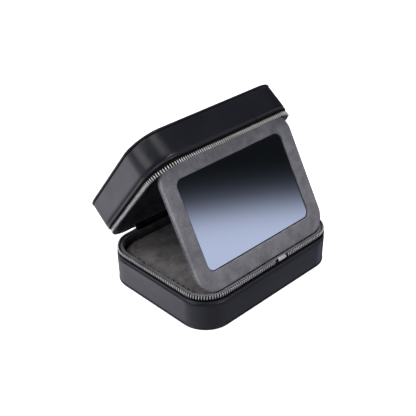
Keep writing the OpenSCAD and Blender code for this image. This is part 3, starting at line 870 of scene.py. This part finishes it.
def cushion(name, gap, edge_h, crown, z0, place, body, replaced, cap):
    """A padded cushion: a closed form that swells under pressure, pinned round its foot."""
    w, d = CASE_W - 2 * WALL_T - 2 * gap, CASE_D - 2 * WALL_T - 2 * gap
    outline = rounded_outline(w, d, CORNER_R - WALL_T - gap, 8, 12, WAIST)
    # Each ring is (inset, height): up the soft edge, then over the crown in even steps
    rings = [
        (1.0, 0.0), (0.25, edge_h * 0.3), (0.0, edge_h * 0.6), (0.35, edge_h * 0.85), (1.2, edge_h * 0.97),
    ]
    over, crown_from, crown_run = 9, 2.5, 46
    for k in range(over + 1):
        rings.append((crown_from + crown_run * k / over, edge_h + crown * (1 - (1 - k / over) ** 3)))
    verts = []
    for inset, z in rings:
        verts += [(x * (1 - 2 * inset / w), y * (1 - 2 * inset / d), z0 + z) for x, y in outline]
    faces = bridge(len(rings), len(outline)) + end_caps(len(rings), len(outline))
    obj = add_mesh(name, verts, faces)
    swell(obj, cap * MM, z0 * MM)
    subdivide(obj)
    obj.data.transform(place)
    for poly in obj.data.polygons:
        poly.use_smooth = True
    finish_piece(obj, body, "suede_dark", SUEDE_DARK, replaced)
    return obj


def swell(obj, cap, foot):
    """Remeshes a cushion and lets Cloth blow it up a little. No point moves further than the cap."""
    remesh = obj.modifiers.new("remesh", "REMESH")
    remesh.mode = "VOXEL"
    remesh.voxel_size = 0.004
    apply_modifiers(obj)
    rest = [v.co.copy() for v in obj.data.vertices]
    group = obj.vertex_groups.new(name="foot")
    group.add([v.index for v in obj.data.vertices if v.co.z < foot + 0.001], 1.0, "REPLACE")
    cloth = obj.modifiers.new("cloth", "CLOTH")
    settings = cloth.settings
    settings.quality = 5
    settings.mass = 0.2
    settings.use_pressure = True
    settings.uniform_pressure_force = 2.5
    settings.tension_stiffness = 12
    settings.compression_stiffness = 12
    settings.bending_stiffness = 1.5
    settings.vertex_group_mass = "foot"
    settings.effector_weights.gravity = 0
    cloth.collision_settings.use_collision = False
    scene = bpy.context.scene
    for number in range(1, SWELL_FRAMES + 1):
        scene.frame_set(number)
    apply_modifiers(obj)
    scene.frame_set(1)
    for vertex, start in zip(obj.data.vertices, rest):
        move = vertex.co - start
        if move.length > cap:
            vertex.co = start + move * (cap / move.length)


def insert_stitches(pad):
    """Long stitches that follow the insert's edge and lie on its nap."""
    mesh = pad.data
    surface = BVHTree.FromPolygons([v.co for v in mesh.vertices], [tuple(f.vertices) for f in mesh.polygons])
    pitch, from_wall = 5.6, 4.1
    n = round(LEATHER_LOOP.length / pitch)
    spots = []
    for i in range(n):
        s = LEATHER_LOOP.length * i / n
        inset = WALL_T + from_wall + ripple(s, 41, 12, 0.5)
        x, y, nx, ny = LEATHER_LOOP.at(s)
        above = Vector((x - nx * inset, y - ny * inset, RIM_Z + 10)) * MM
        point = surface.ray_cast(above, Vector((0, 0, -1)))[0]
        if point is not None:
            spots.append((s, inset, point.z / MM + 0.05, math.pi / 2))
    stitch = stitch_mesh(length=3.4, radius=0.38, flat=1.0)
    obj = repeat_on("insert_stitches", LEATHER_LOOP, spots, stitch, BASE)
    return finish_piece(obj, "base", "suede_dark", SUEDE_THREAD)


insert_stitches(cushion(
    "insert_cushion", INSERT_GAP, edge_h=INSERT_PAD_T - 0.4, crown=0.5, z0=INSERT_BLOCK_Z,
    place=BASE, body="base", replaced="insert_pad", cap=0.5,
))
cushion(
    "ceiling_cushion", CEILING_GAP, edge_h=CEILING_PAD_T - 0.5, crown=2.2, z0=FLOOR_Z,
    place=LID, body="lid", replaced="lid_ceiling_pad", cap=0.8,
)


# Mirror panel


BACK_SEAM_Z = PANEL_T - PANEL_BACK_T
PANEL_STITCH_PITCH = 3.4


def lofted(name, rings, capped, uneven=0.0, seed=0):
    """Joins rings in the panel's frame. Each is (w, d, r, z). They are capped or close on themselves."""
    verts = []
    steps, side = 14, 24
    around = 4 * (steps + side)
    for w, d, r, z in rings:
        for x, y in rounded_outline(w, d, r, steps, side):
            bulge = uneven * noise.noise(Vector((x / 14, y / 14, z / 5 + seed)))
            verts.append((x + bulge * x / (w / 2), y + PANEL_L / 2 + bulge * y / (d / 2), z + bulge * 0.6))
    faces = bridge(len(rings), around, ring_close=not capped)
    if capped:
        faces += end_caps(len(rings), around)
    return add_mesh(name, verts, faces, PANEL)


def panel_ring(inset, z):
    """A ring that follows the panel's outline. Far in, its corners keep a small radius."""
    return PANEL_W - 2 * inset, PANEL_L - 2 * inset, max(PANEL_R - inset, 3.0), z


def window_ring(lap, z):
    """A ring that follows the window's outline."""
    return WINDOW_W + 2 * lap, WINDOW_H + 2 * lap, WINDOW_R + lap, z


def mirror_frame():
    """Suede wrapped over the frame's board: soft outer and inner edges round the window."""
    outer, inner, back = panel_ring, window_ring, BACK_SEAM_Z
    seam = [outer(2.4, back - 0.1), outer(1.3, back - 0.15), outer(0.75, back - 0.45)]
    side = [
        outer(0.2, back - 0.95), outer(0.0, back - 1.4), outer(0.0, 2.2), outer(0.03, 1.2), outer(0.16, 0.65),
    ]
    face = [outer(0.42, 0.28), outer(0.95, 0.07), outer(2.2, 0.0), outer(5.0, -0.02), outer(8.0, -0.02)]
    window = [
        inner(2.6, 0.0), inner(1.5, 0.06), inner(0.8, 0.25), inner(0.3, 0.6), inner(0.05, 1.1),
        inner(0.0, GLASS_RECESS - 0.02), inner(3.0, GLASS_RECESS - 0.01),
    ]
    rings = seam + side + face + window
    obj = lofted("mirror_frame_suede", rings, capped=False, uneven=0.16, seed=3)
    finish_piece(obj, "mirror_panel", "suede", SUEDE, "mirror_frame_cover")
    # The suede round the board's edge gets a paler copy of the suede, a painted highlight where the left light
    # catches the frame's side
    obj.data.materials.append(SUEDE_PAINTED_HIGHLIGHT)
    around = len(obj.data.polygons) // len(rings)
    highlighted_rings = range(len(seam), len(seam + side))
    for i, poly in enumerate(obj.data.polygons):
        if i // around in highlighted_rings:
            poly.material_index = 1
    return obj


def mirror_back():
    """The back board in its own suede, a little smaller than the frame, with a seam between them."""
    ring, back = panel_ring, BACK_SEAM_Z
    rings = [
        ring(3.0, back), ring(1.4, back + 0.06), ring(0.95, back + 0.3), ring(0.62, back + 0.7),
        ring(0.6, back + 1.2), ring(0.9, back + 1.65), ring(1.6, back + 1.9), ring(3.0, PANEL_T),
        ring(8.0, PANEL_T + 0.02), ring(14.0, PANEL_T + 0.05), ring(24.0, PANEL_T + 0.05),
    ]
    obj = lofted("mirror_back_suede", rings, capped=True, uneven=0.14, seed=9)
    return finish_piece(obj, "mirror_panel", "suede", SUEDE, "mirror_back_cover")


def glass_edge():
    """The blackened bevel of the glass, which shows as a thin dark line inside the window."""
    ring, outside, inside = window_ring, 0.10, -0.75
    rings = [
        ring(outside, GLASS_RECESS - 0.03), ring(-0.25, GLASS_RECESS - 0.10),
        ring(inside, GLASS_RECESS - 0.03), ring(inside, GLASS_RECESS - 0.005),
        ring(outside, GLASS_RECESS - 0.005),
    ]
    obj = lofted("glass_edge", rings, capped=False)
    return finish_piece(obj, "mirror_panel", "mirror", GLASS_EDGE)


def panel_stitches():
    """Small stitches that hold the back to the frame, sunk in the seam between them."""
    loop = Loop(PANEL_W, PANEL_L, PANEL_R)
    spots = even_spots(loop, PANEL_STITCH_PITCH, 0.75, 0.0)
    lift = Matrix.Translation(Vector((0, PANEL_L / 2, BACK_SEAM_Z - 0.05)) * MM)
    stitch = stitch_mesh(length=2.2, radius=0.22, flat=1.0)
    obj = repeat_on("panel_stitches", loop, spots, stitch, PANEL @ lift)
    return finish_piece(obj, "mirror_panel", "suede", SUEDE_THREAD)


mirror_frame()
mirror_back()
panel_stitches()
glass_edge()


# Strips that bend over a joint


# Steps between the points of each leaf of a strip
LEAF_STEPS = 5


def strip(name, centre_line, width, thickness):
    """A flat strip whose width lies along X, carried along a line of (y, z) points."""
    crossways = 40
    m = len(centre_line)
    both = []
    for side in (1, -1):
        for i, (y, z) in enumerate(centre_line):
            y0, z0 = centre_line[max(0, i - 1)]
            y1, z1 = centre_line[min(m - 1, i + 1)]
            offset = side * thickness / 2 / math.hypot(y1 - y0, z1 - z0)
            both.append((y - (z1 - z0) * offset, z + (y1 - y0) * offset))
    section = both[:m] + both[:m - 1:-1]
    verts = []
    for i in range(crossways + 1):
        x = (i / crossways - 0.5) * width
        verts += [(x, y, z) for y, z in section]
    rings, around = crossways + 1, len(section)
    return add_mesh(name, verts, bridge(rings, around) + end_caps(rings, around))


def leaf(start, end):
    """Evenly spaced points of one leaf, from its start to its end."""
    return [start + (end - start) * k / LEAF_STEPS for k in range(LEAF_STEPS + 1)]


def opened(y, z):
    """A point of the closed lid's section, in millimetres, turned to the position at rest."""
    p = OPENING @ (Vector((0, y, z)) * MM)
    return p.y / MM, p.z / MM


def hinge_strip():
    """One strip of leather from the base's wall over the hinge line to the lid's wall."""
    back = CASE_D / 2 - LEATHER_T / 2
    lap, near, bend_run = 0.2, 0.6, 3
    low = [(back, z) for z in leaf(BASE_H - lap, MID_Z - near - lap)]
    high = [opened(back, z) for z in leaf(MID_Z + near, BASE_H + ZIP_GAP + lap)]
    obj = strip("hinge_strip", low + [(back + 0.15, MID_Z)] + high, HINGE_W, LEATHER_T - 0.2)
    obj.data.materials.append(LEATHER)
    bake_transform(obj)
    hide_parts("base_hinge_leather", "lid_hinge_leather")
    return obj


def fold_strip():
    """One strip of suede from the lid's front lining over the fold line to the end of the mirror panel."""
    fold = Vector(JOINTS["panel_fold"]["pos_m"]) / MM
    wall = -CASE_D / 2 + WALL_T + 0.15
    top, near = MID_Z + FOLD_DEPTH, 0.6
    on_lid = [opened(wall, z) for z in leaf(top - 3.3, top - near)]
    on_panel = []
    for z in leaf(near - FOLD_OFFSET, near + 3.2):
        p = PANEL @ (Vector((0, -0.25, z)) * MM)
        on_panel.append((p.y / MM, p.z / MM))
    obj = strip("fold_strip", on_lid + [(fold.y, fold.z)] + on_panel, FOLD_TAPE_W, 0.4)
    obj.data.materials.append(SUEDE)
    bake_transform(obj)
    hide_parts("lid_fold_tape", "panel_fold_tape")
    return obj


hinge_strip()
fold_strip()


# Floor, light and camera


# The middle of the open case, in metres, which the lights are aimed at
CENTRE = Vector((0, 0, 0.06))
FLOOR_HALF = 4000.0
FLOOR_DROP = 0.05

# Directions from the case to the middle of each bright field of the studio
FRONT_DIRECTION = (0.061, -0.787, -0.614)
LEFT_DIRECTION = (-0.568, 0.676, -0.469)
# The tint of the fields' light, which is a little cool
COOL = (1.0, 1.0, 1.11)
# The front field begins with a soft edge, which shows across the mirror, and falls off towards its middle.
# Places in a field are cosines: 1 is its middle.
FRONT_EDGE = 0.4905
FRONT_EDGE_SOFTNESS = 0.009
FRONT_DARK = (0.005, 0.006, 0.007)
FRONT_BRIGHT = (0.54, 0.59, 0.79)
FRONT_BODY = ((0.56, (0.52, 0.57, 0.76)), (0.64, (0.40, 0.42, 0.52)))
# Grey levels as (place, brightness)
FRONT_MIDDLE = ((0.80, 0.205), (0.855, 0.165), (0.93, 0.31), (1.0, 0.28))
LEFT_LEVELS = (
    (0.0, 0.14), (0.06, 0.30), (0.32, 0.39), (0.586, 0.50), (0.877, 0.70),
    (0.93, 0.80), (0.968, 0.88), (0.984, 1.08), (0.991, 1.60), (1.0, 2.60),
)
# Share of the fields that flags let through to matt surfaces
FLAGGED = 0.4


def stage_floor():
    """A plain pale floor that neither lights nor is mirrored in the case."""
    m = Nodes("floor")
    m.use(Base_Color=m.ramp(m.noise(3, 2), [(0.3, (0.90, 0.90, 0.90)), (0.7, (0.93, 0.93, 0.93))]))
    m.set(Roughness=0.9, Emission_Strength=1.0)
    m.shader.inputs["Emission Color"].default_value = (1, 1, 1, 1)
    n = 8
    marks = [-FLOOR_HALF + 2 * FLOOR_HALF * i / n for i in range(n + 1)]
    verts = [(x, y, -FLOOR_DROP) for x in marks for y in marks]
    faces = [(i * (n + 1) + j, (i + 1) * (n + 1) + j, (i + 1) * (n + 1) + j + 1, i * (n + 1) + j + 1)
             for i in range(n) for j in range(n)]
    floor = add_mesh("floor", verts, faces)
    floor.data.materials.append(m.material)
    floor.visible_glossy = False
    floor.visible_diffuse = False


def soft_edge(dark, bright, place, softness):
    """Stops of an S-shaped fade from a dark colour to a bright one, from six steps before its middle."""
    stops = []
    for step in range(-6, 5):
        share = 1 / (1 + math.exp(-step))
        stops.append((place + step * softness, tuple(d + (b - d) * share for d, b in zip(dark, bright))))
    return stops


def cool_greys(levels):
    """Stops from grey levels."""
    return [(place, tuple(level * c for c in COOL)) for place, level in levels]


def world_light():
    """A studio that lights and is reflected, but isn't seen behind the case, where the world is white.
    A bright field lies low in front, another low behind on the left, and the rest is dark."""
    world = bpy.data.worlds.new("studio")
    bpy.context.scene.world = world
    world.use_nodes = True
    tree = world.node_tree
    tree.nodes.clear()
    add, link = tree.nodes.new, tree.links.new
    direction = add("ShaderNodeTexCoord").outputs["Generated"]

    def field(middle, stops):
        dot, ramp = add("ShaderNodeVectorMath"), add("ShaderNodeValToRGB")
        dot.operation = "DOT_PRODUCT"
        dot.inputs[1].default_value = middle
        fill_ramp(ramp, stops)
        link(direction, dot.inputs[0])
        link(dot.outputs["Value"], ramp.inputs["Fac"])
        return ramp.outputs["Color"]

    def blended(kind, first, second):
        node = add("ShaderNodeMixRGB")
        node.blend_type = kind
        node.inputs["Fac"].default_value = 1.0
        link(first, node.inputs[1])
        link(second, node.inputs[2])
        return node.outputs["Color"]

    edge = soft_edge(FRONT_DARK, FRONT_BRIGHT, FRONT_EDGE, FRONT_EDGE_SOFTNESS)
    front = field(FRONT_DIRECTION, [*edge, *FRONT_BODY, *cool_greys(FRONT_MIDDLE)])
    left = field(LEFT_DIRECTION, cool_greys(LEFT_LEVELS))
    low = field((0, 0, -1), ((0.0, (0, 0, 0)), (0.12, (1, 1, 1))))
    both = blended("LIGHTEN", front, blended("MULTIPLY", left, low))
    studio, white = add("ShaderNodeBackground"), add("ShaderNodeBackground")
    link(both, studio.inputs["Color"])
    white.inputs["Color"].default_value = (1, 1, 1, 1)
    # Flags keep most of the field off matt surfaces, so the inside of the case stays dark
    path = add("ShaderNodeLightPath")
    flags = add("ShaderNodeMapRange")
    flags.inputs["To Min"].default_value = 1.0
    flags.inputs["To Max"].default_value = FLAGGED
    link(path.outputs["Is Diffuse Ray"], flags.inputs["Value"])
    link(flags.outputs["Result"], studio.inputs["Strength"])
    mix, out = add("ShaderNodeMixShader"), add("ShaderNodeOutputWorld")
    link(path.outputs["Is Camera Ray"], mix.inputs["Fac"])
    link(studio.outputs[0], mix.inputs[1])
    link(white.outputs[0], mix.inputs[2])
    link(mix.outputs[0], out.inputs["Surface"])


def towards(azimuth, elevation):
    """A unit direction. Azimuth 0 is in front of the case and a quarter turn is on its right, in radians."""
    flat = math.cos(elevation)
    return Vector((math.sin(azimuth) * flat, -math.cos(azimuth) * flat, math.sin(elevation)))


def soft_box(name, azimuth, elevation, distance, width, height, radiance):
    """A soft box aimed at the case. Its angles are in degrees and its sizes in metres."""
    position = towards(math.radians(azimuth), math.radians(elevation)) * distance
    light = bpy.data.lights.new(name, "AREA")
    light.shape = "RECTANGLE"
    light.size, light.size_y = width, height
    light.energy = radiance * math.pi * width * height
    obj = bpy.data.objects.new(name, light)
    obj.location = position + CENTRE
    obj.rotation_euler = (-position).to_track_quat("-Z", "Y").to_euler()
    bpy.context.collection.objects.link(obj)
    return obj


stage_floor()
world_light()
soft_box("soft_box_left", -97, 19, 1.2, 0.75, 0.52, 2.1)
soft_box("soft_box_front", -8, 66, 1.3, 0.8, 0.45, 0.9)
soft_box("soft_box_back", 170, 38, 1.4, 0.9, 0.6, 3.2)
soft_box("soft_box_right", 122, 32, 1.4, 0.7, 0.6, 1.4)
soft_box("soft_box_top", -50, 83, 1.3, 0.55, 0.55, 1.8)
soft_box("soft_box_fill", 14, 31, 1.3, 0.5, 0.4, 6.3)
soft_box("soft_box_high_left", -112, 52, 1.2, 0.6, 0.5, 3.2)


def add_camera():
    """The photograph's view, fitted to the outlines of the case."""
    azimuth, elevation, roll = (math.radians(v) for v in (-44.09, 31.42, -0.81))
    distance, shift_x, height = 653.5, -11.16, 55.5
    sensor_width, lens = 36, 71.41
    back = towards(azimuth, elevation)
    right = Vector((math.cos(azimuth), math.sin(azimuth), 0))
    up = back.cross(right)
    right_r = right * math.cos(roll) + up * math.sin(roll)
    up_r = up * math.cos(roll) - right * math.sin(roll)
    target = right * shift_x + Vector((0, 0, height))
    data = bpy.data.cameras.new("camera")
    data.sensor_width = sensor_width
    data.lens = lens
    data.clip_start = 0.01
    data.clip_end = 50
    camera = bpy.data.objects.new("camera", data)
    spin = Matrix((right_r, up_r, back)).transposed().to_4x4()
    camera.matrix_world = Matrix.Translation((target + back * distance) * MM) @ spin
    bpy.context.collection.objects.link(camera)
    bpy.context.scene.camera = camera


add_camera()
bpy.context.scene.view_settings.view_transform = "Standard"
